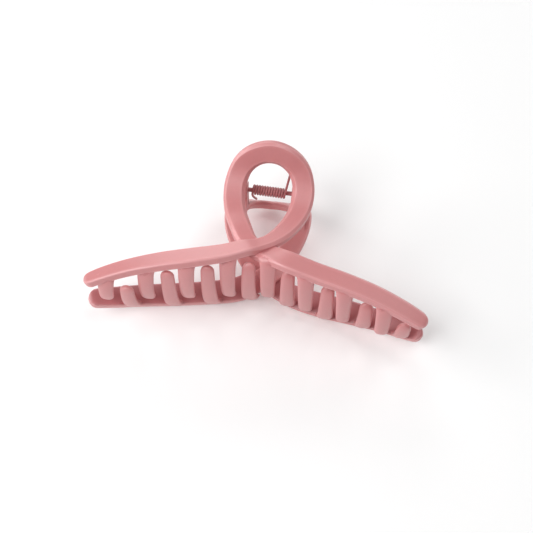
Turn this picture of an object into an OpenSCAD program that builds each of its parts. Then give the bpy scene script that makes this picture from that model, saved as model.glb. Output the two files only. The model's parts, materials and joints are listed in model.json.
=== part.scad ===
// Loop claw clip for hair: two identical moulded claws, a hinge pin and a torsion spring.
// The claws are drawn in the clip's own frame: the hinge axis is X, the front is -Y and
// the loops point to +Z. lay_down() then rests the whole clip on its rear claw.

/* [Claw] */
// Length over the arm tips
clip_length = 110; // [105:1:115]
// Thickness of the ribbon that each claw is moulded from
ribbon_t = 2.8; // [2.4:0.1:3.2]
// Chamfer along the two outer edges of the ribbon
shoulder = 0.9; // [0.5:0.1:1.1]
// Step between the two levels of ribbon where they cross
level_step = 2.6; // [2.2:0.1:2.7]

/* [Teeth] */
// Distance between the teeth of one claw
tooth_pitch = 12.5; // [12.3:0.1:12.7]
// Width of a tooth where it leaves the ribbon
tooth_root_w = 5.5; // [4.8:0.1:5.6]
// Width of a tooth near its tip
tooth_tip_w = 4.3; // [3.9:0.1:5]
// Thickness of a tooth
tooth_t = 2.4; // [2:0.1:2.8]
// How far a tooth drops below the ribbon before it turns inwards
tooth_drop = 2.2; // [1.8:0.1:3]

/* [Hinge] */
// Diameter of the hinge pin
pin_d = 1.5; // [1.3:0.1:1.5]
// Thickness of each hinge ear
ear_t = 2.4; // [2:0.1:2.4]
// Outer radius of the eye at the end of an ear
eye_r = 2.7; // [2.4:0.1:3]
// Half of the clear width between the inner ears
ear_inside = 7.6; // [7.5:0.1:7.8]
// Gap between neighbouring ears of the two claws
ear_gap = 0.25; // [0.2:0.05:0.4]
// Radial clearance of the pin in the ears that turn on it
running_gap = 0.05; // [0.03:0.01:0.08]

/* [Spring] */
// Diameter of the spring wire
wire_d = 0.8; // [0.6:0.05:0.8]
// Mean radius of the coil
coil_r = 1.4; // [1.25:0.05:1.4]
// Full turns in the coil
coil_turns = 13; // [11:1:13]
// Where the coil ends, left and right of the clip's middle
coil_x = [-5.9, 4.9];

/* [Hidden] */
PINK = [0.86, 0.60, 0.62];
PINK_METAL = [0.72, 0.45, 0.47];
$fn = 48;

// The loop's wall in side view: up from the waist it flares outwards on one arc and runs
// out straight, and down from the waist it spreads on a slower arc towards the arms.
waist_out = 9.2;
waist_z = -10.3;
flare_r = 14.8;
flare_deg = 59;
spread_r = 31.7;
spread_deg = 26;
flare_arc = flare_r * flare_deg * PI / 180;
spread_arc = spread_r * spread_deg * PI / 180;

// A point of the wall's outer face as [outwards, z, how far the face looks up], for a
// distance s measured along the wall from the waist, positive upwards.
function wall(s) =
    s > flare_arc ? let (run = s - flare_arc)
        [waist_out + flare_r * (1 - cos(flare_deg)) + run * sin(flare_deg),
         waist_z + flare_r * sin(flare_deg) + run * cos(flare_deg), -flare_deg]
    : s > 0 ? let (a = s / flare_r * 180 / PI)
        [waist_out + flare_r * (1 - cos(a)), waist_z + flare_r * sin(a), -a]
    : s > -spread_arc ? let (a = -s / spread_r * 180 / PI)
        [waist_out + spread_r * (1 - cos(a)), waist_z - spread_r * sin(a), a]
    : let (run = -s - spread_arc)
        [waist_out + spread_r * (1 - cos(spread_deg)) + run * sin(spread_deg),
         waist_z - spread_r * sin(spread_deg) - run * cos(spread_deg), spread_deg];

// Stations of the ribbon's outer face on an arm: [x, outwards, z, face looks up, width].
half = clip_length / 2;
left_arm = [
    [-half, 8.8, -43.4, 20, 5.4],
    [-49.5, 10.6, -41.1, 22, 6.3],
    [-41, 12.3, -38.1, 24, 7.0],
    [-31, 13.7, -35.5, 25, 7.8],
    [-21, 14.7, -33.4, 26, 8.1],
    [-12, 15.1, -31.2, 26, 7.6],
    [-5, 14.9, -28.4, 26, 6.8],
];
right_arm = [
    [9, 14.4, -31.5, 17, 8.0],
    [18, 13.5, -34.0, 14, 7.6],
    [28, 12.4, -36.3, 11, 7.4],
    [38, 10.5, -38.8, 9, 7.1],
    [48, 7.6, -42.0, 8, 6.6],
    [half, 4.8, -44.6, 7, 5.8],
];
// Stations of the loop on the unrolled wall: [x, distance along the wall, width].
loop_line = [
    [-1.0, -17.0, 6.1], [2.8, -13.9, 6.1], [6.7, -8.8, 6.5], [9.7, -3.2, 6.9],
    [11.2, 2.0, 7.2], [11.3, 7.0, 7.2], [9.4, 12.0, 7.3], [5.3, 15.7, 7.6],
    [0.0, 17.2, 7.8], [-5.2, 15.7, 7.6], [-9.1, 12.2, 7.3], [-11.0, 7.0, 7.1],
    [-11.0, 2.0, 7.1], [-9.8, -3.2, 7.0], [-7.4, -8.8, 6.9],
];
// The part of the ribbon that dives under the crossing: [x, along the wall, width, step],
// with the steps drawn for a level_step of drawn_step.
drawn_step = 2.6;
dive_line = [
    [-9.1, -5.2, 6.6, 0.15], [-7.4, -8.8, 6.6, 0.15], [-4.7, -13.2, 6.9, 1.4],
    [-0.8, -16.5, 7.0, 2.4], [3.8, -19.5, 7.6, 1.4],
];

function on_wall(x, s, w, step = 0) = let (p = wall(s))
    [x, -(p[0] - step * cos(p[2])), p[1] - step * sin(p[2]), p[2], w];
function on_arm(p) = [p[0], -p[1], p[2], p[3], p[4]];

outer_ribbon = concat([for (p = left_arm) on_arm(p)],
                      [for (p = loop_line) on_wall(p[0], p[1], p[2])]);
under_ribbon = concat([for (p = dive_line) on_wall(p[0], p[1], p[2], p[3] * level_step / drawn_step)],
                      [for (p = right_arm) on_arm(p)]);

// A smooth curve through every station, with n steps between neighbours.
function through(st, n) = let (last = len(st) - 1) concat(
    [for (i = [0 : last - 1]) for (j = [0 : n - 1])
        let (a = st[max(i - 1, 0)], b = st[i], c = st[i + 1], d = st[min(i + 2, last)], t = j / n)
        0.5 * (2 * b + (c - a) * t + (2 * a - 5 * b + 4 * c - d) * t * t
               + (3 * b - a - 3 * c + d) * t * t * t)],
    [st[last]]);
function place(p) = [p[0], p[1], p[2]];
function unit(v) = v / norm(v);
function direction(path, i) =
    unit(place(path[min(i + 1, len(path) - 1)]) - place(path[max(i - 1, 0)]));

// The ribbon's section: chamfered on the outer face, eased on the inner one.
function ribbon_section(w, t) = let (h = w / 2, e = 0.4) [
    [-h + shoulder, 0], [h - shoulder, 0], [h, -shoulder], [h, e - t],
    [h - e, -t], [e - h, -t], [-h, e - t], [-h, -shoulder]];

// Skin over rings of equal length, closed at both ends.
module skin(rings) {
    n = len(rings[0]);
    m = len(rings);
    polyhedron(
        points = [for (r = rings) each r],
        faces = concat(
            [[for (k = [0 : n - 1]) k]],
            [for (i = [0 : m - 2]) for (k = [0 : n - 1]) let (q = (k + 1) % n)
                each [[i * n + k, (i + 1) * n + k, (i + 1) * n + q],
                      [i * n + k, (i + 1) * n + q, i * n + q]]],
            [[for (k = [n - 1 : -1 : 0]) (m - 1) * n + k]]));
}

// How far from its tip an arm begins to round off, and the share of its width left there.
end_round = 2.6;
end_share = 0.45;

// A ribbon along a line of stations; round_from and round_to round off its two ends.
module ribbon(stations, round_from, round_to) {
    path = through(stations, 4);
    last = len(path) - 1;
    skin([for (i = [0 : last])
        let (p = path[i],
             t = direction(path, i),
             n0 = [0, -cos(p[3]), sin(p[3])],
             n = unit(n0 - t * (t * n0)),
             b = cross(t, n),
             from_end = min(round_from ? norm(place(p) - place(path[0])) : 99,
                            round_to ? norm(place(p) - place(path[last])) : 99),
             u = 1 - min(from_end / end_round, 1),
             w = p[4] * max(sqrt(1 - u * u), end_share))
        [for (q = ribbon_section(w, ribbon_t)) place(p) + b * q[0] + n * q[1]]]);
}

// How far past the clip's middle plane each tooth reaches, from left to right, and how
// high its tip stands above the ribbon's lower edge.
tooth_reach = [1.2, 5.3, 8.3, 10.0, 10.3, 12.1, 11.4, 7.6];
tip_rise = [-0.4, 0.5, 1.1, 0.5, 1.8, 1.5, 1.2, -0.6];
// How far each tooth's root and tip stand off their even pitch, along the clip.
root_shift = [-0.3, -0.5, -0.4, -0.3, 0, -0.4, -0.4, 0.1];
tip_shift = [-1.0, -0.8, -0.7, -0.2, 0, 0.3, 0.2, 0.3];
tooth_count = len(tooth_reach);
tooth_xs = [for (i = [0 : tooth_count - 1]) (i - tooth_count / 2 + 0.25) * tooth_pitch];
// The share of tooth_drop that each tooth takes.
drop_share = [1, 1, 1, 1, 0.5, 1, 1, 1];
// How steeply each tooth rises to its tip.
tip_sag = [3.5, 6.4, 6.0, 7.0, 7.0, 4.0, 2.6, 2.0];
// The reach at which a tooth drops by the full tooth_drop.
full_reach = 26;
// Where a tooth's rings lie along it, closer together at the rounded tip.
tooth_steps = [0, 0.1, 0.2, 0.32, 0.45, 0.58, 0.7, 0.8, 0.87, 0.92, 0.96, 0.985, 1];

// The lower edge of an arm's middle surface at x, as [y, z].
left_path = through([for (p = left_arm) on_arm(p)], 4);
right_path = through([for (p = right_arm) on_arm(p)], 4);
function edge_y(p) = p[1] - p[4] / 2 * sin(p[3]) + ribbon_t / 2 * cos(p[3]);
function edge_z(p) = p[2] - p[4] / 2 * cos(p[3]) - ribbon_t / 2 * sin(p[3]);
function edge_at(x) = let (path = x < 0 ? left_path : right_path)
    [lookup(x, [for (p = path) [p[0], edge_y(p)]]), lookup(x, [for (p = path) [p[0], edge_z(p)]])];
// How far the arm's face looks up at x.
function tilt_at(x) = lookup(x, [for (p = x < 0 ? left_path : right_path) [p[0], p[3]]]);
// How far up inside the ribbon a tooth starts, and how far inwards of its middle surface.
root_depth = 1.9;
root_inset = 0.25;
// How far inwards a tooth's curve bulges below its root, and how far back it bends
// before its tip.
root_bulge = 1.2;
tip_bend = 6;
// A tooth's length as a share of the straight line from root to tip.
curve_share = 1.12;
// How far from its tip a tooth begins to round off.
tip_round = 2.6;
// A tooth's section: half its width by half its thickness, with eased corners.
tooth_section = [[-0.62, 1], [0.62, 1], [1, 0.45], [1, -0.45],
                 [0.62, -1], [-0.62, -1], [-1, -0.45], [-1, 0.45]];

function bezier(a, b, c, d, u) =
    pow(1 - u, 3) * a + 3 * u * pow(1 - u, 2) * b + 3 * u * u * (1 - u) * c + pow(u, 3) * d;

// A tooth in its own plane: from inside the ribbon down, inwards and up again.
module tooth(x, reach, rise, x_root, x_tip, drop, sag) {
    edge = edge_at(x);
    start = edge + root_depth * [sin(tilt_at(x)), cos(tilt_at(x))] + [root_inset, 0];
    tip = [reach, edge[1] + rise];
    share = norm(tip - start) / full_reach;
    below = edge + [root_bulge, -drop * share];
    before = tip + [-tip_bend, -sag] * share;
    length = norm(tip - start) * curve_share;
    skin([for (u = tooth_steps)
        let (c = bezier(start, below, before, tip, u),
             along = unit(bezier(start, below, before, tip, u + 0.01)
                          - bezier(start, below, before, tip, u - 0.01)),
             up = [-along[1], along[0]],
             left = (1 - u) * length,
             dome = left > tip_round ? 1 : sqrt(max(1 - pow(1 - left / tip_round, 2), 0.06)),
             w = dome * (tooth_root_w + (tooth_tip_w - tooth_root_w) * u) / 2,
             t = tooth_t / 2 * (0.35 + 0.65 * dome))
        [for (q = tooth_section)
            [x + x_root * (1 - u) + x_tip * u + q[0] * w,
             c[0] + up[0] * q[1] * t, c[1] + up[1] * q[1] * t]]]);
}

// Ears reach from the loop's inner face to the pin; from_x is an ear's lower x.
module ear(from_x, bore_r) {
    web = [[-13.6, 1.6], [-2.2, 1.6], [1.2, -2.2], [-6.0, -11.5], [-8.2, -11.5]];
    difference() {
        union() {
            translate([from_x, 0, 0]) rotate([90, 0, 90]) linear_extrude(ear_t) polygon(web);
            translate([from_x, 0, 0]) rotate([0, 90, 0]) cylinder(h = ear_t, r = eye_r);
        }
        translate([from_x - 1, -waist_out - flare_r, waist_z])
            rotate([0, 90, 0]) cylinder(h = ear_t + 2, r = flare_r + ribbon_t / 2, $fn = 96);
        translate([from_x - 1, 0, 0]) rotate([0, 90, 0]) cylinder(h = ear_t + 2, r = bore_r);
    }
}

module claw(bore_r) {
    ribbon(outer_ribbon, true, false);
    ribbon(under_ribbon, false, true);
    for (i = [0 : tooth_count - 1])
        tooth(tooth_xs[i], tooth_reach[i], tip_rise[i], root_shift[i], tip_shift[i],
              tooth_drop * drop_share[i], tip_sag[i]);
    ear(ear_inside, bore_r);
    ear(-ear_inside - 2 * ear_t - ear_gap, bore_r);
}

// Rests the clip on its rear claw, with the loops away from the viewer.
lie_deg = -82.5;
hinge_y = 18.2;
hinge_z = 20.9;
module lay_down() {
    translate([0, hinge_y, hinge_z]) rotate([lie_deg, 0, 0]) children();
}

module front_claw() {
    color(PINK) lay_down() claw(pin_d / 2 + running_gap);
}

module rear_claw() {
    color(PINK) lay_down() rotate([0, 0, 180]) claw(pin_d / 2 + 0.01);
}

module hinge_pin() {
    span = 2 * (ear_inside + 2 * ear_t + ear_gap) + 1;
    color(PINK_METAL) lay_down() rotate([0, 90, 0])
        cylinder(h = span, r = pin_d / 2, center = true);
}

// The leg's end, behind the loop: [x, y, z] for the front leg.
leg_end = [7.0, -12.4, 3.6];
// The angle where a straight leg to a point leaves the underside of the coil.
function leave_deg(y, z) = atan2(z, y) + acos(coil_r / norm([y, z]));

module torsion_spring() {
    front_deg = leave_deg(leg_end[1], leg_end[2]);
    rear_deg = 180 - front_deg;
    sides = 8;
    steps = 20;
    turn = 360 * coil_turns + (rear_deg - front_deg);
    coil = [for (i = [0 : coil_turns * steps])
        let (u = i / (coil_turns * steps), a = rear_deg - turn * u)
        [coil_x[0] + (coil_x[1] - coil_x[0]) * u, coil_r * cos(a), coil_r * sin(a)]];
    line = concat([[-leg_end[0], -leg_end[1], leg_end[2]]], coil, [leg_end]);
    color(PINK_METAL) lay_down()
        skin([for (i = [0 : len(line) - 1])
            let (t = direction(line, i),
                 n = unit(cross(t, [1, 0, 0])),
                 b = cross(t, n))
            [for (k = [0 : sides - 1]) line[i]
                + (n * cos(360 * k / sides) + b * sin(360 * k / sides)) * wire_d / 2]]);
}

front_claw();
rear_claw();
torsion_spring();
hinge_pin();
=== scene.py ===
"""Loop claw hair clip: two ribbon mouldings with interlocking teeth, a hinge pin and a torsion spring.

Every piece is drawn in the clip's own frame, in millimetres: the hinge axis is X, the front is -Y and
the loops point to +Z. ClipFrame then lays the clip on its rear claw, where the frame's hinge stands.
"""

import json
import logging
import math
from collections.abc import Iterable, Sequence
from dataclasses import dataclass, field
from enum import Enum

import bpy
import numpy as np
from mathutils import Matrix, Vector


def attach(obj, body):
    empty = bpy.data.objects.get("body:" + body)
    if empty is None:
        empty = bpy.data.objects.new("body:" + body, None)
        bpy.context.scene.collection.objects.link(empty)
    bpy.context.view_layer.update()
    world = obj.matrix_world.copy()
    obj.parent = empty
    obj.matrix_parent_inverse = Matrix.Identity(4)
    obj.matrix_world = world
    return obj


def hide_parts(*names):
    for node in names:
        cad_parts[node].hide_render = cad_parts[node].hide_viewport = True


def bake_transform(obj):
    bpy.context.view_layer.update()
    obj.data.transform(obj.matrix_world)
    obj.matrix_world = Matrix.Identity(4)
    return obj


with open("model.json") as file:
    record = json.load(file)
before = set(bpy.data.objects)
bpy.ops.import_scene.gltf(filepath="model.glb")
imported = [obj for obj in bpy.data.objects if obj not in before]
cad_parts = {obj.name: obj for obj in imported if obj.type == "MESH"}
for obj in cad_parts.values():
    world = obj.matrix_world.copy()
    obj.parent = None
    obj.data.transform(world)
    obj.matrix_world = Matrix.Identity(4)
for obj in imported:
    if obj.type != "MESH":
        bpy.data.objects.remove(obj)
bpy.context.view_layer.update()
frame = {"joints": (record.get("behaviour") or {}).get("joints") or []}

log = logging.getLogger("claw_clip")

Colour = tuple[float, float, float, float]
Setting = str | int | float | bool | list


class Body(Enum):
    """The rigid halves of the clip."""

    REAR = "rear_half"
    FRONT = "front_half"


class Slot(Enum):
    """Material slots that the record names."""

    PLASTIC = "claw_plastic"
    WIRE = "painted_wire"


# ---------------------------------------------------------------- node graphs


class Wire:
    """A node's output value that takes part in Python arithmetic."""

    def __init__(self, graph: "Graph", socket: bpy.types.NodeSocket) -> None:
        """Wraps one output socket of a graph's node."""
        self.graph = graph
        self.socket = socket

    def _math(self, operation: str, *terms: "Wire | float") -> "Wire":
        """Adds a Math node over the terms and wraps its result."""
        node = self.graph.node("ShaderNodeMath", {"operation": operation}, dict(enumerate(terms)))
        return Wire(self.graph, node.outputs[0])

    def __add__(self, other: "Wire | float") -> "Wire":
        """Self plus other."""
        return self._math("ADD", self, other)

    __radd__ = __add__

    def __sub__(self, other: "Wire | float") -> "Wire":
        """Self minus other."""
        return self._math("SUBTRACT", self, other)

    def __rsub__(self, other: float) -> "Wire":
        """Other minus self."""
        return self._math("SUBTRACT", other, self)

    def __mul__(self, other: "Wire | float") -> "Wire":
        """Self times other."""
        return self._math("MULTIPLY", self, other)

    __rmul__ = __mul__

    def __truediv__(self, other: "Wire | float") -> "Wire":
        """Self over other."""
        return self._math("DIVIDE", self, other)

    def __pow__(self, other: "Wire | float") -> "Wire":
        """Self to the power of other."""
        return self._math("POWER", self, other)

    def __abs__(self) -> "Wire":
        """Self without its sign."""
        return self._math("ABSOLUTE", self)

    def sign(self) -> "Wire":
        """Minus one, zero or one."""
        return self._math("SIGN", self)

    def sqrt(self) -> "Wire":
        """Square root."""
        return self._math("SQRT", self)

    def sin(self) -> "Wire":
        """Sine of self in radians."""
        return self._math("SINE", self)

    def cos(self) -> "Wire":
        """Cosine of self in radians."""
        return self._math("COSINE", self)

    def at_least(self, other: "Wire | float") -> "Wire":
        """The larger of self and other."""
        return self._math("MAXIMUM", self, other)

    def at_most(self, other: "Wire | float") -> "Wire":
        """The smaller of self and other."""
        return self._math("MINIMUM", self, other)


class Graph:
    """A shader or geometry node tree under construction."""

    def __init__(self, tree: bpy.types.NodeTree) -> None:
        """Empties the tree and keeps it."""
        self.tree = tree
        tree.nodes.clear()

    def node(
        self,
        kind: str,
        settings: dict[str, Setting] | None = None,
        inputs: dict[str | int, object] | None = None,
    ) -> bpy.types.Node:
        """Adds one node.

        Args:
            kind: the node's type name.
            settings: properties set before any socket; "stops" fills a colour ramp.
            inputs: a constant, a Wire or a socket for each named or numbered input.

        Returns:
            The new node.
        """
        node = self.tree.nodes.new(kind)
        for name, value in (settings or {}).items():
            if name == "stops":
                self._set_stops(node, value)
            else:
                setattr(node, name, value)
        for key, value in (inputs or {}).items():
            self.feed(node.inputs[key], value)
        return node

    @staticmethod
    def _set_stops(node: bpy.types.Node, stops: Iterable[tuple[float, Colour]]) -> None:
        """Replaces a colour ramp's stops."""
        ramp = node.color_ramp
        for number, (place, colour) in enumerate(stops):
            stop = ramp.elements[number] if number < 2 else ramp.elements.new(place)
            stop.position = place
            stop.color = colour

    def feed(self, socket: bpy.types.NodeSocket, value: object) -> None:
        """Links a Wire or socket to an input, or sets its constant."""
        if isinstance(value, Wire):
            self.tree.links.new(value.socket, socket)
        elif isinstance(value, bpy.types.NodeSocket):
            self.tree.links.new(value, socket)
        else:
            socket.default_value = value

    def wire(
        self,
        kind: str,
        settings: dict[str, Setting] | None = None,
        inputs: dict[str | int, object] | None = None,
        output: str | int = 0,
    ) -> Wire:
        """Adds one node and wraps one of its outputs."""
        return Wire(self, self.node(kind, settings, inputs).outputs[output])

    def noise(self, place: Wire, scale: float, detail: float) -> Wire:
        """A noise pattern's value, near one half."""
        return self.wire("ShaderNodeTexNoise", None, {"Vector": place, "Scale": scale, "Detail": detail})

    def mix(self, factor: "Wire | float", a: object, b: object) -> Wire:
        """Mixes two colours with a Mix node."""
        return self.wire("ShaderNodeMix", {"data_type": "RGBA"}, {0: factor, 6: a, 7: b}, 2)

    def vector(self, x: object, y: object, z: object) -> Wire:
        """Combines three values into a vector."""
        return self.wire("ShaderNodeCombineXYZ", None, {0: x, 1: y, 2: z})


class GeometryGraph(Graph):
    """A geometry node tree with named inputs, run once on a seed mesh."""

    def __init__(self, name: str, sizes: dict[str, float], material: bpy.types.Material) -> None:
        """Args:
            name: the tree's name.
            sizes: each float input's name and value.
            material: the finish that Set Material gives at the end.
        """
        super().__init__(bpy.data.node_groups.new(name, "GeometryNodeTree"))
        interface = self.tree.interface
        interface.new_socket("Geometry", in_out="INPUT", socket_type="NodeSocketGeometry")
        interface.new_socket("Geometry", in_out="OUTPUT", socket_type="NodeSocketGeometry")
        self.values: dict[str, object] = {}
        for label, value in sizes.items():
            socket = interface.new_socket(label, in_out="INPUT", socket_type="NodeSocketFloat")
            self.values[socket.identifier] = value
        socket = interface.new_socket("Material", in_out="INPUT", socket_type="NodeSocketMaterial")
        self.values[socket.identifier] = material
        self.source = self.node("NodeGroupInput")

    def size(self, label: str) -> Wire:
        """A named input as a Wire."""
        return Wire(self, self.source.outputs[label])

    def named(self, label: str) -> Wire:
        """A float attribute of the seed points."""
        settings = {"data_type": "FLOAT"}
        return self.wire("GeometryNodeInputNamedAttribute", settings, {"Name": label})

    def close(self, geometry: bpy.types.NodeSocket) -> None:
        """Ends the tree in Realize Instances, smooth shading and Set Material."""
        real = self.node("GeometryNodeRealizeInstances", None, {0: geometry})
        smooth = self.node("GeometryNodeSetShadeSmooth", None, {0: real.outputs[0]})
        inputs = {"Geometry": smooth.outputs[0], "Material": self.source.outputs["Material"]}
        dressed = self.node("GeometryNodeSetMaterial", None, inputs)
        self.node("NodeGroupOutput", None, {0: dressed.outputs[0]})

    def run(self, seed: bpy.types.Object) -> bpy.types.Mesh:
        """Runs the tree on a seed object, and returns its result as a plain mesh.

        Args:
            seed: the object that carries the seed points; it is removed.

        Returns:
            The evaluated mesh.
        """
        modifier = seed.modifiers.new("build", "NODES")
        modifier.node_group = self.tree
        for identifier, value in self.values.items():
            modifier[identifier] = value
        return Workshop.evaluated(seed)


# ---------------------------------------------------------------- mesh tools


class Workshop:
    """Mesh jobs that several pieces share."""

    @staticmethod
    def thing(name: str, mesh: bpy.types.Mesh) -> bpy.types.Object:
        """Links a new object that shows a mesh."""
        thing = bpy.data.objects.new(name, mesh)
        bpy.context.scene.collection.objects.link(thing)
        return thing

    @staticmethod
    def mesh(name: str, points: Sequence, faces: Sequence) -> bpy.types.Mesh:
        """A mesh from points and faces."""
        mesh = bpy.data.meshes.new(name)
        mesh.from_pydata([tuple(p) for p in points], [], [tuple(f) for f in faces])
        mesh.update()
        return mesh

    @staticmethod
    def tube_faces(rings: int, sides: int) -> list[tuple[int, ...]]:
        """Faces over rings of equal length, with both ends capped."""
        faces = [
            (a + k, a + sides + k, a + sides + (k + 1) % sides, a + (k + 1) % sides)
            for a in range(0, (rings - 1) * sides, sides)
            for k in range(sides)
        ]
        last = (rings - 1) * sides
        return faces + [tuple(range(sides)), tuple(last + k for k in reversed(range(sides)))]

    @staticmethod
    def evaluated(thing: bpy.types.Object) -> bpy.types.Mesh:
        """Applies an object's modifiers to a new mesh, and removes the object."""
        graph = bpy.context.evaluated_depsgraph_get()
        mesh = bpy.data.meshes.new_from_object(thing.evaluated_get(graph))
        bpy.data.objects.remove(thing)
        return mesh

    @staticmethod
    def joined(name: str, meshes: Iterable[bpy.types.Mesh]) -> bpy.types.Mesh:
        """One mesh that holds several closed meshes side by side."""
        points: list[tuple[float, ...]] = []
        faces: list[tuple[int, ...]] = []
        for mesh in meshes:
            start = len(points)
            points += [tuple(v.co) for v in mesh.vertices]
            faces += [tuple(start + i for i in polygon.vertices) for polygon in mesh.polygons]
        return Workshop.mesh(name, points, faces)

    @staticmethod
    def mark_crests(mesh: bpy.types.Mesh, passes: int) -> None:
        """Stores how convex the surface is at each point, from -1 in a crease to 1 on an edge.

        Args:
            mesh: a mesh in millimetres, which gets the float attribute "crest".
            passes: how many times the value is averaged with its neighbours'.
        """
        count = len(mesh.vertices)
        place = np.empty(count * 3)
        mesh.vertices.foreach_get("co", place)
        place = place.reshape(-1, 3)
        normal = np.array([v.vector for v in mesh.vertex_normals])
        ends = np.empty(len(mesh.edges) * 2, dtype=np.int64)
        mesh.edges.foreach_get("vertices", ends)
        a, b = ends.reshape(-1, 2).T
        step = place[b] - place[a]
        bend = ((normal[b] - normal[a]) * step).sum(1) / np.maximum((step**2).sum(1), 1e-9)
        degree = np.bincount(ends, minlength=count).clip(1)
        crest = (np.bincount(a, bend, count) + np.bincount(b, bend, count)) / degree
        for _ in range(passes):
            near = np.bincount(a, crest[b], count) + np.bincount(b, crest[a], count)
            crest = (crest + near) / (degree + 1)
        attribute = mesh.attributes.new("crest", "FLOAT", "POINT")
        attribute.data.foreach_set("value", crest.clip(-1, 1).astype(np.float32))


def through(stations: np.ndarray, steps: int) -> np.ndarray:
    """A smooth curve through every station.

    Args:
        stations: one row per station.
        steps: curve points between neighbouring stations.

    Returns:
        One row per curve point, with the stations' columns.
    """
    padded = np.vstack([stations[:1], stations, stations[-1:]])
    rows = []
    for a, b, c, d in zip(padded, padded[1:], padded[2:], padded[3:]):
        for t in np.arange(steps) / steps:
            cubic = 3 * b - a - 3 * c + d
            rows.append(0.5 * (2 * b + (c - a) * t + (2 * a - 5 * b + 4 * c - d) * t**2 + cubic * t**3))
    return np.array(rows + [stations[-1]])


# ---------------------------------------------------------------- finishes


@dataclass(frozen=True)
class SoftTouchPlastic:
    """Moulded plastic under a soft matte pink coat."""

    name: str = "soft_touch_pink"
    base: Colour = (0.66, 0.243, 0.246, 1.0)
    # Paler edge tone: a thinner coat on the edges, and a painted highlight.
    thin: Colour = (0.78, 0.36, 0.365, 1.0)
    # Painted shade for the creases and the arms' inner faces.
    painted_shade_tone: Colour = (0.46, 0.12, 0.135, 1.0)
    roughness: float = 0.4
    cloud_scale: float = 70.0
    speck_scale: float = 900.0
    grain_mm: float = 0.35
    thin_edge_and_highlight_share: float = 0.55
    # Shares of the pale edge tone and of the two painted shades.
    crease_shade_share: float = 0.45
    inner_shade_share: float = 0.55

    def material(self) -> bpy.types.Material:
        """Builds the material: cloudy tone, paler edges (thinner coat, painted highlight), painted shade
        in creases and on inner faces, fine grain.
        """
        material = bpy.data.materials.new(self.name)
        material.use_nodes = True
        graph = Graph(material.node_tree)
        place = graph.wire("ShaderNodeTexCoord", output="Object")
        cloud = graph.noise(place, self.cloud_scale, 3.0)
        speck = graph.noise(place, self.speck_scale, 2.0)
        grain = graph.noise(place, 1000.0 / self.grain_mm, 2.0)
        crest = graph.wire("ShaderNodeAttribute", {"attribute_name": "crest"}, output="Fac")
        # Convex edges turn paler: a thinner coat there, and a painted highlight.
        edge = (crest * 1.3 - 0.12).at_least(0.0).at_most(1.0)
        # Concave creases turn darker: painted shade.
        crease = (crest * -1.6 - 0.1).at_least(0.0).at_most(1.0)
        # The arms' inner faces, marked by Claw, get a painted shade.
        inner = graph.wire("ShaderNodeAttribute", {"attribute_name": "inner"}, output="Fac")
        tone = (cloud - 0.5) * 0.5 + (speck - 0.5) * 0.35 + 0.5
        ramp = graph.node(
            "ShaderNodeValToRGB",
            {"stops": [(0.3, tuple(0.93 * c for c in self.base[:3]) + (1.0,)), (0.7, self.base)]},
            {"Fac": tone},
        )
        paint = graph.mix(edge * self.thin_edge_and_highlight_share, ramp.outputs["Color"], self.thin)
        paint = graph.mix(crease * self.crease_shade_share, paint, self.painted_shade_tone)
        paint = graph.mix(inner * self.inner_shade_share, paint, self.painted_shade_tone)
        sheen_break = (cloud - 0.5) * 0.12 + (speck - 0.5) * 0.1 + self.roughness
        bump = graph.node(
            "ShaderNodeBump", None, {"Strength": 0.22, "Distance": 0.00006, "Height": grain + speck * 0.6}
        )
        shader = graph.node(
            "ShaderNodeBsdfPrincipled",
            None,
            {
                "Base Color": paint,
                "Roughness": sheen_break,
                "Normal": bump.outputs["Normal"],
                "IOR": 1.5,
                "Specular IOR Level": 0.95,
                "Subsurface Weight": 0.06,
                "Subsurface Radius": (0.0012, 0.0005, 0.0004),
                "Subsurface Scale": 1.0,
                "Sheen Weight": 0.12,
                "Sheen Roughness": 0.5,
                "Sheen Tint": (1.0, 0.85, 0.86, 1.0),
            },
        )
        graph.node("ShaderNodeOutputMaterial", None, {"Surface": shader.outputs[0]})
        return material


@dataclass(frozen=True)
class PaintedSteel:
    """Steel wire or pin under a thin coat of the same pink."""

    name: str = "pink_painted_steel"
    base: Colour = (0.45, 0.165, 0.172, 1.0)
    scuffed: Colour = (0.58, 0.34, 0.33, 1.0)
    roughness: float = 0.36
    spray_scale: float = 1400.0
    patch_scale: float = 420.0

    def material(self) -> bpy.types.Material:
        """Builds the material: uneven sprayed paint, slightly glossy, with faint scuffs."""
        material = bpy.data.materials.new(self.name)
        material.use_nodes = True
        graph = Graph(material.node_tree)
        place = graph.wire("ShaderNodeTexCoord", output="Object")
        spray = graph.noise(place, self.spray_scale, 3.0)
        patch = graph.noise(place, self.patch_scale, 4.0)
        scuff = ((patch - 0.6) * 7.0).at_least(0.0).at_most(1.0)
        paint = graph.mix(scuff * 0.5, self.base, self.scuffed)
        bump = graph.node("ShaderNodeBump", None, {"Strength": 0.2, "Distance": 0.00004, "Height": spray})
        shader = graph.node(
            "ShaderNodeBsdfPrincipled",
            None,
            {
                "Base Color": paint,
                "Roughness": (spray - 0.5) * 0.2 + self.roughness,
                "Metallic": scuff * 0.35,
                "Normal": bump.outputs["Normal"],
            },
        )
        graph.node("ShaderNodeOutputMaterial", None, {"Surface": shader.outputs[0]})
        return material


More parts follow.
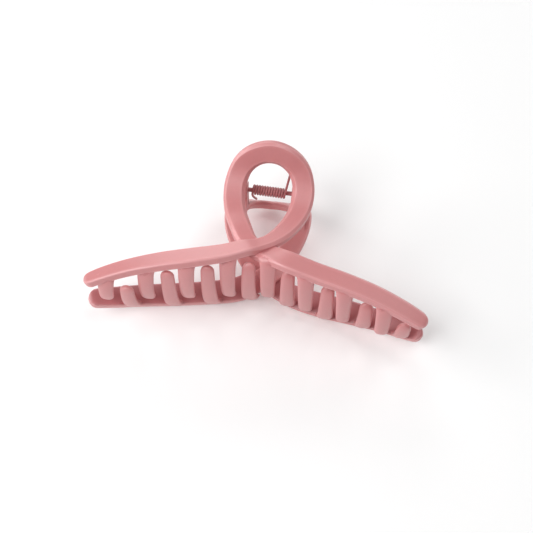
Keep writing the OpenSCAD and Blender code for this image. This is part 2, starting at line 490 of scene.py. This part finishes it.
@dataclass(frozen=True)
class StudioPaper:
    """Matte white paper for the floor."""

    name: str = "studio_paper"
    tone: Colour = (0.88, 0.88, 0.88, 1.0)
    glow: float = 0.14

    def material(self) -> bpy.types.Material:
        """Builds the material: white with a barely visible tooth."""
        material = bpy.data.materials.new(self.name)
        material.use_nodes = True
        graph = Graph(material.node_tree)
        place = graph.wire("ShaderNodeTexCoord", output="Object")
        tooth = graph.wire("ShaderNodeTexNoise", None, {"Vector": place, "Scale": 600.0})
        bump = graph.node("ShaderNodeBump", None, {"Strength": 0.03, "Distance": 0.0001, "Height": tooth})
        shader = graph.node(
            "ShaderNodeBsdfPrincipled",
            None,
            {
                "Base Color": self.tone,
                "Roughness": 0.9,
                "Normal": bump.outputs["Normal"],
                "Emission Color": self.tone,
                "Emission Strength": self.glow,
            },
        )
        graph.node("ShaderNodeOutputMaterial", None, {"Surface": shader.outputs[0]})
        return material


# ---------------------------------------------------------------- the clip


@dataclass
class ClipFrame:
    """Where the clip's own frame lies in the row's frame."""

    hinge: Vector
    lie_deg: float = -82.5

    def matrix(self, turned: bool = False) -> Matrix:
        """The way from millimetres in the clip's frame to metres in the row's frame.

        Args:
            turned: whether the piece first turns half round the clip's upright axis.

        Returns:
            The matrix for mesh.transform.
        """
        lie = Matrix.Rotation(math.radians(self.lie_deg), 4, "X")
        turn = Matrix.Rotation(math.pi if turned else 0.0, 4, "Z")
        return Matrix.Translation(self.hinge) @ lie @ turn @ Matrix.Scale(0.001, 4)

    def place(self, name: str, mesh: bpy.types.Mesh, turned: bool = False) -> bpy.types.Object:
        """Shows a copy of a clip-frame mesh as an object at the origin."""
        copy = mesh.copy()
        copy.name = name
        copy.transform(self.matrix(turned))
        return Workshop.thing(name, copy)


@dataclass
class LoopWall:
    """The loop's wall in side view: flared out above the waist and spread towards the arms below it."""

    waist_out: float = 9.2
    waist_z: float = -10.3
    flare_r: float = 14.8
    flare_deg: float = 59.0
    spread_r: float = 31.7
    spread_deg: float = 26.0

    def point(self, s: float) -> tuple[float, float, float]:
        """A point of the wall's outer face.

        Args:
            s: distance along the wall from the waist, positive upwards.

        Returns:
            How far outwards it is, its height, and how many degrees its face looks up.
        """
        up = s > 0
        radius, limit = (self.flare_r, self.flare_deg) if up else (self.spread_r, self.spread_deg)
        angle = min(abs(s) / radius, math.radians(limit))
        run = abs(s) - angle * radius
        out = self.waist_out + radius * (1 - math.cos(angle)) + run * math.sin(angle)
        rise = radius * math.sin(angle) + run * math.cos(angle)
        sign = 1 if up else -1
        return out, self.waist_z + sign * rise, -sign * math.degrees(angle)

    def station(self, x: float, s: float, width: float, step: float = 0.0) -> tuple[float, ...]:
        """A ribbon station on the wall, step millimetres behind its outer face."""
        out, z, look = self.point(s)
        angle = math.radians(look)
        return x, -(out - step * math.cos(angle)), z - step * math.sin(angle), look, width


@dataclass
class Ribbon:
    """A flat ribbon with chamfered shoulders, moulded along a line of stations.

    The chamfers top_cut and inner_cut are fixed, and the lower one comes with each station. Every
    corner is eased by ease millimetres, and the flats have a support point support millimetres in.
    The ends round off over end_r to end_width and end_depth of the full section.
    """

    stations: list[tuple[float, ...]]
    thickness: float = 2.8
    top_cut: float = 1.2
    inner_cut: float = 0.4
    ease: float = 0.07
    ease_turn: float = 0.7
    support: float = 0.16
    end_r: float = 2.7
    end_width: float = 0.12
    end_depth: float = 0.3
    steps: int = 12

    def path(self) -> np.ndarray:
        """Rows of x, y, z, degrees that the face looks up, width and lower chamfer."""
        return through(np.array(self.stations), self.steps)

    def _section(self, width: float, low_cut: float) -> list[tuple[float, float]]:
        """The section's outline: x across the ribbon, y outwards from its outer face."""
        half = width / 2
        back = -self.thickness
        corners = [
            (-half, 0.0, self.top_cut),
            (half, 0.0, low_cut),
            (half, back, self.inner_cut),
            (-half, back, self.inner_cut),
        ]
        outline: list[tuple[float, float]] = []
        for number, (x, y, cut) in enumerate(corners):
            along, down = (math.copysign(cut, -x), math.copysign(cut, back / 2 - y))
            ease = self.ease / cut
            turn = ease * self.ease_turn
            first = [(1 + ease, 0.0), (1 - turn, turn), (0.8, 0.2)]
            shares = first + [(d, a) for a, d in reversed(first)]
            bevel = [(x + along * a, y + down * d) for a, d in shares]
            outline += bevel if number % 2 else bevel[::-1]
        return self._with_supports(outline)

    def _with_supports(self, outline: list[tuple[float, float]]) -> list[tuple[float, float]]:
        """Adds points along the flats, close to the corners, so that the paler edges, a thinner coat with
        a painted highlight, stay on the edges.
        """
        full: list[tuple[float, float]] = []
        for number, ((x0, y0), (x1, y1)) in enumerate(zip(outline, outline[1:] + outline[:1])):
            full.append((x0, y0))
            if number % 6 == 5:
                near = self.support / math.hypot(x1 - x0, y1 - y0)
                full += [(x0 + (x1 - x0) * t, y0 + (y1 - y0) * t) for t in (near, 0.2, 0.5, 0.8, 1 - near)]
        return full

    def mesh(self, name: str) -> bpy.types.Mesh:
        """Sweeps the section along the path."""
        path = self.path()
        place = path[:, :3]
        ahead = np.gradient(place, axis=0)
        ahead /= np.linalg.norm(ahead, axis=1)[:, None]
        look = np.radians(path[:, 3])
        face = np.stack([np.zeros_like(look), -np.cos(look), np.sin(look)], axis=1)
        face -= ahead * (face * ahead).sum(1)[:, None]
        face /= np.linalg.norm(face, axis=1)[:, None]
        across = np.cross(ahead, face)
        points = []
        for row, p, n, b in zip(path, place, face, across):
            from_end = min(float(np.linalg.norm(p - end)) for end in (place[0], place[-1]))
            gone = 1 - min(from_end / self.end_r, 1)
            swell = max(math.sqrt(1 - gone * gone), self.end_width)
            flat = max(math.sqrt(1 - gone**4), self.end_depth)
            middle = -self.thickness / 2
            for across_by, out_by in self._section(row[4], row[5]):
                points.append(p + b * across_by * swell + n * (middle + (out_by - middle) * flat))
        return Workshop.mesh(name, points, Workshop.tube_faces(len(path), len(points) // len(path)))


@dataclass
class TeethRow:
    """The eight curved teeth of one claw, from left to right.

    Each is a Bezier curve from inside the ribbon to its tip. It flares over the first flare_share
    of its length, thins to seat_depth where it sits in the ribbon, and rounds off over the last
    dome millimetres.
    """

    pitch: float = 12.5
    reach: tuple[float, ...] = (1.2, 5.3, 8.3, 10.0, 10.3, 12.1, 11.4, 7.6)
    tip_rise: tuple[float, ...] = (-0.4, 0.5, 1.1, 0.5, 1.8, 1.5, 1.2, -0.6)
    root_shift: tuple[float, ...] = (-0.3, -0.5, -0.4, -0.3, 0.0, -0.4, -0.4, 0.1)
    tip_shift: tuple[float, ...] = (-1.0, -0.8, -0.7, -0.2, 0.0, 0.3, 0.2, 0.3)
    root_w: float = 5.5
    tip_w: float = 4.3
    thickness: float = 2.4
    drop: float = 2.2
    drop_share: tuple[float, ...] = (1.0, 1.0, 1.0, 1.0, 0.5, 1.0, 1.0, 1.0)
    tip_sag: tuple[float, ...] = (3.5, 6.4, 6.0, 7.0, 7.0, 4.0, 2.6, 2.0)
    root_depth: float = 1.9
    root_inset: float = 0.25
    root_bulge: float = 1.2
    tip_bend: float = 6.0
    curve_share: float = 1.12
    full_reach: float = 26.0
    dome: float = 2.7
    flare: float = 0.6
    flare_share: float = 0.26
    seat_depth: float = 0.7
    seat_share: float = 0.12
    square_side: float = 0.86
    square_face: float = 0.8
    tip_crowd: float = 1.7

    def seeds(self, edges: np.ndarray) -> bpy.types.Object:
        """One point per tooth, which carries the tooth's own sizes.

        Args:
            edges: rows of x, y, z and tilt in radians along the ribbon's lower edge.

        Returns:
            The seed object.
        """
        count = len(self.reach)
        xs = [(i - count / 2 + 0.25) * self.pitch for i in range(count)]
        mesh = Workshop.mesh("tooth_seeds", [(x, 0, 0) for x in xs], [])
        edge_y = np.interp(xs, edges[:, 0], edges[:, 1])
        edge_z = np.interp(xs, edges[:, 0], edges[:, 2])
        tilt = np.interp(xs, edges[:, 0], edges[:, 3])
        columns = {
            "root_x": np.array(xs) + self.root_shift,
            "tip_x": np.array(xs) + self.tip_shift,
            "edge_y": edge_y,
            "edge_z": edge_z,
            "root_y": edge_y + self.root_depth * np.sin(tilt) + self.root_inset,
            "root_z": edge_z + self.root_depth * np.cos(tilt),
            "drop_share": self.drop_share,
            "tip_sag": self.tip_sag,
            "tip_y": self.reach,
            "tip_z": edge_z + np.array(self.tip_rise),
        }
        for label, column in columns.items():
            attribute = mesh.attributes.new(label, "FLOAT", "POINT")
            attribute.data.foreach_set("value", np.array(column, dtype=np.float32))
        return Workshop.thing("tooth_seeds", mesh)

    def graph(self, material: bpy.types.Material) -> GeometryGraph:
        """Builds the tree: a tube on every seed, bent to that tooth's arc.

        Args:
            material: the teeth's finish.

        Returns:
            The tree, ready to run on the seeds.
        """
        sizes = {
            "Root Width": self.root_w,
            "Tip Width": self.tip_w,
            "Thickness": self.thickness,
            "Drop": self.drop,
            "Full Reach": self.full_reach,
            "Dome Length": self.dome,
            "Root Flare": self.flare,
            "Root Bulge": self.root_bulge,
            "Tip Bend": self.tip_bend,
        }
        g = GeometryGraph("teeth_row", sizes, material)
        tube = g.node(
            "GeometryNodeMeshCylinder",
            {"fill_type": "NGON"},
            {"Vertices": 24, "Side Segments": 44, "Fill Segments": 1, "Radius": 1.0, "Depth": 1.0},
        )
        position = g.node("GeometryNodeInputPosition")
        marked = g.node(
            "GeometryNodeStoreNamedAttribute",
            {"data_type": "FLOAT_VECTOR", "domain": "POINT"},
            {"Geometry": tube.outputs["Mesh"], "Name": "unit", "Value": position.outputs[0]},
        )
        seeded = g.node(
            "GeometryNodeInstanceOnPoints",
            None,
            {"Points": g.source.outputs["Geometry"], "Instance": marked.outputs[0]},
        )
        real = g.node("GeometryNodeRealizeInstances", None, {0: seeded.outputs[0]})
        unit = g.node("GeometryNodeInputNamedAttribute", {"data_type": "FLOAT_VECTOR"}, {"Name": "unit"})
        split = g.node("ShaderNodeSeparateXYZ", None, {0: unit.outputs[0]})
        side, face, along = (Wire(g, split.outputs[i]) for i in range(3))
        u = 1.0 - (0.5 - along).at_least(0.0) ** self.tip_crowd
        v = 1.0 - u

        root_y, root_z, tip_y, tip_z = (g.named(k) for k in ("root_y", "root_z", "tip_y", "tip_z"))
        chord = ((tip_y - root_y) ** 2.0 + (tip_z - root_z) ** 2.0).sqrt()
        share = chord / g.size("Full Reach")
        drop = g.size("Drop") * g.named("drop_share") * share
        bulge_y = g.named("edge_y") + g.size("Root Bulge")
        handles_y = (root_y, bulge_y, tip_y - g.size("Tip Bend") * share, tip_y)
        handles_z = (root_z, g.named("edge_z") - drop, tip_z - g.named("tip_sag") * share, tip_z)

        def bezier(p: Sequence[Wire]) -> Wire:
            """The cubic curve's coordinate at u."""
            return v**3.0 * p[0] + 3.0 * u * v**2.0 * p[1] + 3.0 * u**2.0 * v * p[2] + u**3.0 * p[3]

        def slope(p: Sequence[Wire]) -> Wire:
            """The cubic curve's derivative at u."""
            return v**2.0 * (p[1] - p[0]) + 2.0 * u * v * (p[2] - p[1]) + u**2.0 * (p[3] - p[2])

        run_y, run_z = slope(handles_y), slope(handles_z)
        run = (run_y**2.0 + run_z**2.0).sqrt().at_least(0.001)
        left = self.curve_share * chord * v / g.size("Dome Length")
        swell = (1.0 - (1.0 - left).at_least(0.0) ** 2.0).at_least(0.004).sqrt()
        flare = (1.0 - u / self.flare_share).at_least(0.0) ** 2.0 * g.size("Root Flare")
        width = swell * (g.size("Root Width") * v + g.size("Tip Width") * u) * 0.5 + flare
        seated = self.seat_depth + (1 - self.seat_depth) * (u / self.seat_share).at_most(1.0)
        depth = (0.3 + 0.7 * swell) * seated * g.size("Thickness") * 0.5
        across = side.sign() * abs(side) ** self.square_side * width
        lift = face.sign() * abs(face) ** self.square_face * depth
        bent = g.vector(
            g.named("root_x") * v + g.named("tip_x") * u + across,
            bezier(handles_y) - run_z / run * lift,
            bezier(handles_z) + run_y / run * lift,
        )
        posed = g.node("GeometryNodeSetPosition", None, {"Geometry": real.outputs[0], "Position": bent})
        g.close(posed.outputs[0])
        return g


@dataclass
class HingeEar:
    """A plate from the loop's inner face to an eye round the pin."""

    wall: LoopWall
    thickness: float = 2.4
    eye_r: float = 2.7
    ribbon_t: float = 2.8

    def mesh(self, from_x: float) -> bpy.types.Mesh:
        """Builds the plate.

        Args:
            from_x: the lower x of the plate.

        Returns:
            The closed plate.
        """
        middle_r = self.wall.flare_r + self.ribbon_t / 2
        centre_y = -self.wall.waist_out - self.wall.flare_r
        eye = [math.radians(a) for a in range(92, -121, -12)]
        outline = [(self.eye_r * math.cos(a), self.eye_r * math.sin(a)) for a in eye]
        outline += [(-3.1, -5.0), (-5.3, -8.6), (-7.0, -11.9)]
        flare = [math.radians(a) for a in range(-3, 48, 5)]
        middle = ((middle_r * math.cos(a), middle_r * math.sin(a)) for a in flare)
        outline += [(centre_y + y, self.wall.waist_z + z) for y, z in middle]
        outline += [(-8.4, 2.0), (-4.6, 2.2)]
        rims = [[(from_x + dx, y, z) for y, z in outline] for dx in (0.0, self.thickness)]
        faces = Workshop.tube_faces(2, len(outline))
        return Workshop.mesh("hinge_ear", rims[0] + rims[1], faces)


@dataclass
class Claw:
    """One moulding: ribbon loop, two arms, teeth and ears. Both claws are the same."""

    wall: LoopWall = field(default_factory=LoopWall)
    teeth: TeethRow = field(default_factory=TeethRow)
    half: float = 55.0
    ear_inside: float = 7.6
    ear_t: float = 2.4
    ear_gap: float = 0.25
    bore_r: float = 0.8
    wide_cut: float = 0.85
    slim_cut: float = 0.38
    crease_deg: float = 36.0
    # These three bound the arms' inner faces that get a painted shade.
    arm_top: float = -24.0
    inner_shade_reach: float = 6.0
    inner_shade_look: float = 0.5

    def left_arm(self) -> list[tuple[float, ...]]:
        """Stations of the outer level: x, y, z, degrees that the face looks up, width."""
        return [
            (-self.half, -8.8, -43.4, 20, 5.4),
            (-49.5, -10.6, -41.1, 22, 6.3),
            (-41, -12.3, -38.1, 24, 7.0),
            (-31, -13.7, -35.5, 25, 7.8),
            (-21, -14.7, -33.4, 26, 8.1),
            (-12, -15.1, -31.2, 26, 7.6),
            (-5, -14.9, -28.4, 26, 6.8),
        ]

    def right_arm(self) -> list[tuple[float, ...]]:
        """Stations of the inner level, in the same columns."""
        return [
            (9, -14.4, -31.5, 17, 8.0),
            (18, -13.5, -34.0, 14, 7.6),
            (28, -12.4, -36.3, 11, 7.4),
            (38, -10.5, -38.8, 9, 7.1),
            (48, -7.6, -42.0, 8, 6.6),
            (self.half, -4.8, -44.6, 7, 5.8),
        ]

    def loop(self) -> list[tuple[float, ...]]:
        """Stations of the loop, from the crossing up its right side and down its left."""
        line = [
            (-1.0, -17.0, 6.1), (2.8, -13.9, 6.1), (6.7, -8.8, 6.5), (9.7, -3.2, 6.9),
            (11.2, 2.0, 7.2), (11.3, 7.0, 7.2), (9.4, 12.0, 7.3), (5.3, 15.7, 7.6),
            (0.0, 17.2, 7.8), (-5.2, 15.7, 7.6), (-9.1, 12.2, 7.3), (-11.0, 7.0, 7.1),
            (-11.0, 2.0, 7.1), (-9.8, -3.2, 7.0), (-7.4, -8.8, 6.9),
        ]
        return [self.wall.station(x, s, width) for x, s, width in line]

    def dive(self) -> list[tuple[float, ...]]:
        """Stations where the ribbon passes under the crossing."""
        line = [(-4.7, -13.2, 6.9, 1.4), (-0.8, -16.5, 7.0, 2.4), (3.8, -19.3, 8.1, 1.4)]
        return [self.wall.station(x, s, width, step) for x, s, width, step in line]

    def lower_edge(self, arms: Sequence[Ribbon]) -> np.ndarray:
        """Points on the lower edge of both arms, sorted from left to right."""
        rows = np.vstack([arm.path() for arm in arms])
        look = np.radians(rows[:, 3])
        y = rows[:, 1] - rows[:, 4] / 2 * np.sin(look) + arms[0].thickness / 2 * np.cos(look)
        z = rows[:, 2] - rows[:, 4] / 2 * np.cos(look) - arms[0].thickness / 2 * np.sin(look)
        edge = np.stack([rows[:, 0], y, z, look], axis=1)
        return edge[edge[:, 0].argsort()]

    def moulding(self, material: bpy.types.Material) -> bpy.types.Mesh:
        """Fuses every part of the claw into one skin, in the clip's frame.

        Args:
            material: the claw's finish.

        Returns:
            The finished mesh in millimetres.
        """
        line = [station + (self.slim_cut,) for station in self.left_arm()]
        line += [station + (self.wide_cut,) for station in self.loop() + self.dive()]
        line += [station + (self.slim_cut,) for station in self.right_arm()]
        edge = self.lower_edge([Ribbon(self.left_arm()), Ribbon(self.right_arm())])
        teeth = self.teeth.graph(material).run(self.teeth.seeds(edge))
        ear = HingeEar(self.wall, self.ear_t)
        outer_ear_x = -self.ear_inside - 2 * self.ear_t - self.ear_gap
        ears = [ear.mesh(self.ear_inside), ear.mesh(outer_ear_x)]
        body = Workshop.thing("claw_body", Ribbon(line).mesh("ribbon"))
        tools = [
            ("UNION", Workshop.thing("ears", Workshop.joined("hinge_ears", ears))),
            ("UNION", Workshop.thing("teeth", teeth)),
            ("DIFFERENCE", self._drill()),
        ]
        for operation, tool in tools:
            cut = body.modifiers.new(tool.name, "BOOLEAN")
            cut.operation = operation
            cut.solver = "EXACT"
            cut.use_self = operation == "UNION"
            cut.object = tool
        mesh = Workshop.evaluated(body)
        for _, tool in tools:
            bpy.data.objects.remove(tool)
        mesh.shade_smooth()
        mesh.set_sharp_from_angle(angle=math.radians(self.crease_deg))
        mesh.materials.clear()
        mesh.materials.append(material)
        mesh.polygons.foreach_set("material_index", [0] * len(mesh.polygons))
        Workshop.mark_crests(mesh, passes=1)
        self._paint_inner_shade(mesh, edge)
        return mesh

    def _paint_inner_shade(self, mesh: bpy.types.Mesh, edge: np.ndarray) -> None:
        """Marks the arms' inner faces, which get a painted shade of deeper pink.

        Args:
            mesh: the claw in the clip's frame, which gets the face attribute "inner".
            edge: the rows that lower_edge gives.
        """
        centre = np.empty(len(mesh.polygons) * 3)
        normal = np.empty_like(centre)
        mesh.polygons.foreach_get("center", centre)
        mesh.polygons.foreach_get("normal", normal)
        centre, normal = centre.reshape(-1, 3), normal.reshape(-1, 3)
        above = centre[:, 2] > np.interp(centre[:, 0], edge[:, 0], edge[:, 2])
        near = centre[:, 1] < np.interp(centre[:, 0], edge[:, 0], edge[:, 1]) + self.inner_shade_reach
        faces_in = normal[:, 1] > self.inner_shade_look
        inner = above & near & faces_in & (centre[:, 2] < self.arm_top)
        attribute = mesh.attributes.new("inner", "FLOAT", "FACE")
        attribute.data.foreach_set("value", inner.astype(np.float32))

    def _drill(self) -> bpy.types.Object:
        """A long rod along the hinge that cuts the ears' bores."""
        sides = 40
        reach = 16.0
        turn = np.arange(sides) * math.tau / sides
        ring = [(self.bore_r * math.cos(a), self.bore_r * math.sin(a)) for a in turn]
        points = [(x, y, z) for x in (-reach, reach) for y, z in ring]
        return Workshop.thing("drill", Workshop.mesh("drill", points, Workshop.tube_faces(2, sides)))


@dataclass
class TorsionSpring:
    """A long coil on the pin with one straight leg behind each loop."""

    wire_d: float = 0.8
    coil_r: float = 1.4
    turns: int = 13
    start_x: float = -5.9
    end_x: float = 4.9
    leg_end: tuple[float, float, float] = (7.0, -12.4, 3.6)
    rear_leg_x: float = -5.3
    tilt: float = 0.2
    tilt_towards: tuple[float, float] = (-0.5, 0.87)
    hook: float = 0.5
    steps_per_turn: int = 32
    leg_steps: int = 12

    def leave_angle(self) -> float:
        """The angle where the front leg leaves the underside of the coil."""
        _, y, z = self.leg_end
        return math.atan2(z, y) + math.acos(self.coil_r / math.hypot(y, z))

    def mesh(self, material: bpy.types.Material) -> bpy.types.Mesh:
        """Builds the wire with geometry nodes, in the clip's frame.

        Args:
            material: the wire's finish.

        Returns:
            The wire's mesh in millimetres.
        """
        front = self.leave_angle()
        rear = math.pi - front
        sizes = {
            "Wire Diameter": self.wire_d,
            "Coil Radius": self.coil_r,
            "Start X": self.start_x,
            "End X": self.end_x,
            "Start Angle": rear,
            "Total Turn": math.tau * self.turns + rear - front,
        }
        g = GeometryGraph("torsion_spring", sizes, material)
        coil_steps = self.turns * self.steps_per_turn
        count = coil_steps + 2 * self.leg_steps + 1
        line = g.node("GeometryNodeMeshLine", None, {"Count": count})
        index = g.wire("GeometryNodeInputIndex")
        u = (index - self.leg_steps) / coil_steps
        on_coil = u.at_least(0.0).at_most(1.0)
        leg_share = coil_steps / self.leg_steps
        rear_leg = (0.0 - u).at_least(0.0) * leg_share
        front_leg = (u - 1.0).at_least(0.0) * leg_share
        angle = g.size("Start Angle") - g.size("Total Turn") * on_coil
        coil_r = g.size("Coil Radius")
        start = (g.size("Start X"), coil_r * math.cos(rear), coil_r * math.sin(rear))
        end = (g.size("End X"), coil_r * math.cos(front), coil_r * math.sin(front))
        tilt = (0.5 - on_coil) * 2.0 * self.tilt
        coil = (
            start[0] + (end[0] - start[0]) * on_coil,
            coil_r * angle.cos() + self.tilt_towards[0] * tilt,
            coil_r * angle.sin() + self.tilt_towards[1] * tilt,
        )
        x, y, z = self.leg_end
        tips = zip(coil, start, end, (self.rear_leg_x, -y, z), (x, y, z))
        bend = (rear_leg * math.pi).sin() * self.hook
        x, y, z = (c + (r - a) * rear_leg + (f - b) * front_leg for c, a, b, r, f in tips)
        place = g.vector(x - bend, y, z)
        posed = g.node("GeometryNodeSetPosition", None, {"Geometry": line.outputs[0], "Position": place})
        curve = g.node("GeometryNodeMeshToCurve", None, {0: posed.outputs[0]})
        radius = g.size("Wire Diameter") * 0.5
        profile = g.node("GeometryNodeCurvePrimitiveCircle", None, {"Resolution": 14, "Radius": radius})
        wire = g.node(
            "GeometryNodeCurveToMesh",
            None,
            {"Curve": curve.outputs[0], "Profile Curve": profile.outputs[0], "Fill Caps": True},
        )
        g.close(wire.outputs[0])
        return g.run(Workshop.thing("spring_seed", Workshop.mesh("spring_seed", [(0, 0, 0)], [])))


@dataclass
class HingePin:
    """A straight pin with slightly spread, domed ends."""

    radius: float = 0.75
    head_r: float = 0.98
    head_from: float = 12.72
    half_length: float = 13.1
    sides: int = 32

    def mesh(self, material: bpy.types.Material) -> bpy.types.Mesh:
        """Turns the pin's outline about the hinge axis, in the clip's frame."""
        profile = [
            (self.half_length, 0.25),
            (self.half_length - 0.03, 0.6),
            (self.half_length - 0.12, self.head_r - 0.06),
            (self.head_from + 0.12, self.head_r),
            (self.head_from, self.head_r - 0.1),
            (self.head_from - 0.02, self.radius),
            (9.0, self.radius),
            (3.0, self.radius),
        ]
        profile += [(-x, r) for x, r in reversed(profile)]
        angles = np.arange(self.sides) * math.tau / self.sides
        points = [(x, r * math.cos(a), -r * math.sin(a)) for x, r in profile for a in angles]
        mesh = Workshop.mesh("hinge_pin", points, Workshop.tube_faces(len(profile), self.sides))
        mesh.shade_smooth()
        mesh.materials.append(material)
        return mesh


# ---------------------------------------------------------------- the studio


@dataclass
class Studio:
    """Floor, light and camera."""

    floor_size: float = 6.0
    camera_at: tuple[float, float, float] = (0.01971, -0.20265, 0.30651)
    look_at: tuple[float, float, float] = (0.00212, -0.01223, 0.0209)
    roll_deg: float = 1.35
    lens_mm: float = 72.05
    sky: float = 0.05
    box_size: float = 0.3
    box_distance: float = 0.6
    lamps: tuple[tuple[str, float, float, float], ...] = (
        ("key_left", 180.0, 25.0, 1.5),
        ("key_front", 225.0, 50.0, 1.85),
        ("low_left", 205.0, 12.0, 0.15),
        ("top", 0.0, 75.0, 0.85),
        ("rim", 45.0, 25.0, 0.8),
        ("back", 105.0, 25.0, 0.9),
        ("fill", 315.0, 50.0, 0.4),
    )

    def floor(self) -> None:
        """Lays the paper under the clip."""
        half = self.floor_size / 2
        corners = [(-half, -half, 0), (half, -half, 0), (half, half, 0), (-half, half, 0)]
        floor = Workshop.thing("floor", Workshop.mesh("floor", corners, [(0, 1, 2, 3)]))
        floor.data.materials.append(StudioPaper().material())

    def lamp(self, name: str, azimuth: float, height: float, watts: float) -> None:
        """Hangs one square soft box that faces the clip.

        Args:
            name: the lamp's name.
            azimuth: its direction in degrees, from +X towards +Y.
            height: how many degrees it stands above the floor.
            watts: its power.
        """
        light = bpy.data.lights.new(name, "AREA")
        light.shape = "SQUARE"
        light.size = self.box_size
        light.energy = watts
        lamp = bpy.data.objects.new(name, light)
        turn, lift = math.radians(azimuth), math.radians(height)
        away = Vector((math.cos(turn) * math.cos(lift), math.sin(turn) * math.cos(lift), math.sin(lift)))
        lamp.location = Vector(self.look_at) + away * self.box_distance
        lamp.rotation_euler = (-away).to_track_quat("-Z", "Y").to_euler()
        bpy.context.scene.collection.objects.link(lamp)

    def camera(self) -> None:
        """Stands the camera and makes it the scene's."""
        data = bpy.data.cameras.new("camera")
        data.lens = self.lens_mm
        data.clip_start = 0.01
        camera = bpy.data.objects.new("camera", data)
        aim = (Vector(self.look_at) - Vector(self.camera_at)).to_track_quat("-Z", "Y").to_matrix().to_4x4()
        roll = Matrix.Rotation(math.radians(self.roll_deg), 4, "Z")
        camera.matrix_world = Matrix.Translation(self.camera_at) @ aim @ roll
        bpy.context.scene.collection.objects.link(camera)
        bpy.context.scene.camera = camera

    def build(self) -> None:
        """Sets up floor, sky, lamps and camera."""
        self.floor()
        world = bpy.data.worlds.new("studio")
        world.use_nodes = True
        world.node_tree.nodes["Background"].inputs["Color"].default_value = (1.0, 1.0, 1.0, 1.0)
        world.node_tree.nodes["Background"].inputs["Strength"].default_value = self.sky
        bpy.context.scene.world = world
        bpy.context.scene.view_settings.view_transform = "Standard"
        for name, azimuth, height, watts in self.lamps:
            self.lamp(name, azimuth, height, watts)
        self.camera()


def main() -> None:
    """Builds the clip and its studio in order."""
    logging.basicConfig(level=logging.INFO, format="%(name)s: %(message)s")
    hinge = frame["joints"][0]["pos_m"]
    clip = ClipFrame(Vector(hinge))
    plastic = SoftTouchPlastic().material()
    steel = PaintedSteel().material()
    Studio().build()

    moulding = Claw().moulding(plastic)
    for name, node, body, turned in (
        ("front_claw_moulding", "front_claw", Body.FRONT, False),
        ("rear_claw_moulding", "rear_claw", Body.REAR, True),
    ):
        claw = clip.place(name, moulding, turned)
        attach(claw, body.value)
        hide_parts(node)
        log.info("%s: %d faces", name, len(claw.data.polygons))

    pin = clip.place("hinge_pin_steel", HingePin().mesh(steel))
    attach(pin, Body.REAR.value)
    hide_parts("hinge_pin")
    log.info("hinge_pin_steel: %d faces", len(pin.data.polygons))

    coil = TorsionSpring()
    spring = clip.place("torsion_spring_wire", coil.mesh(steel))
    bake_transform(spring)
    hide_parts("torsion_spring")
    log.info("torsion_spring_wire: %d faces", len(spring.data.polygons))


if __name__ == "__main__":
    main()
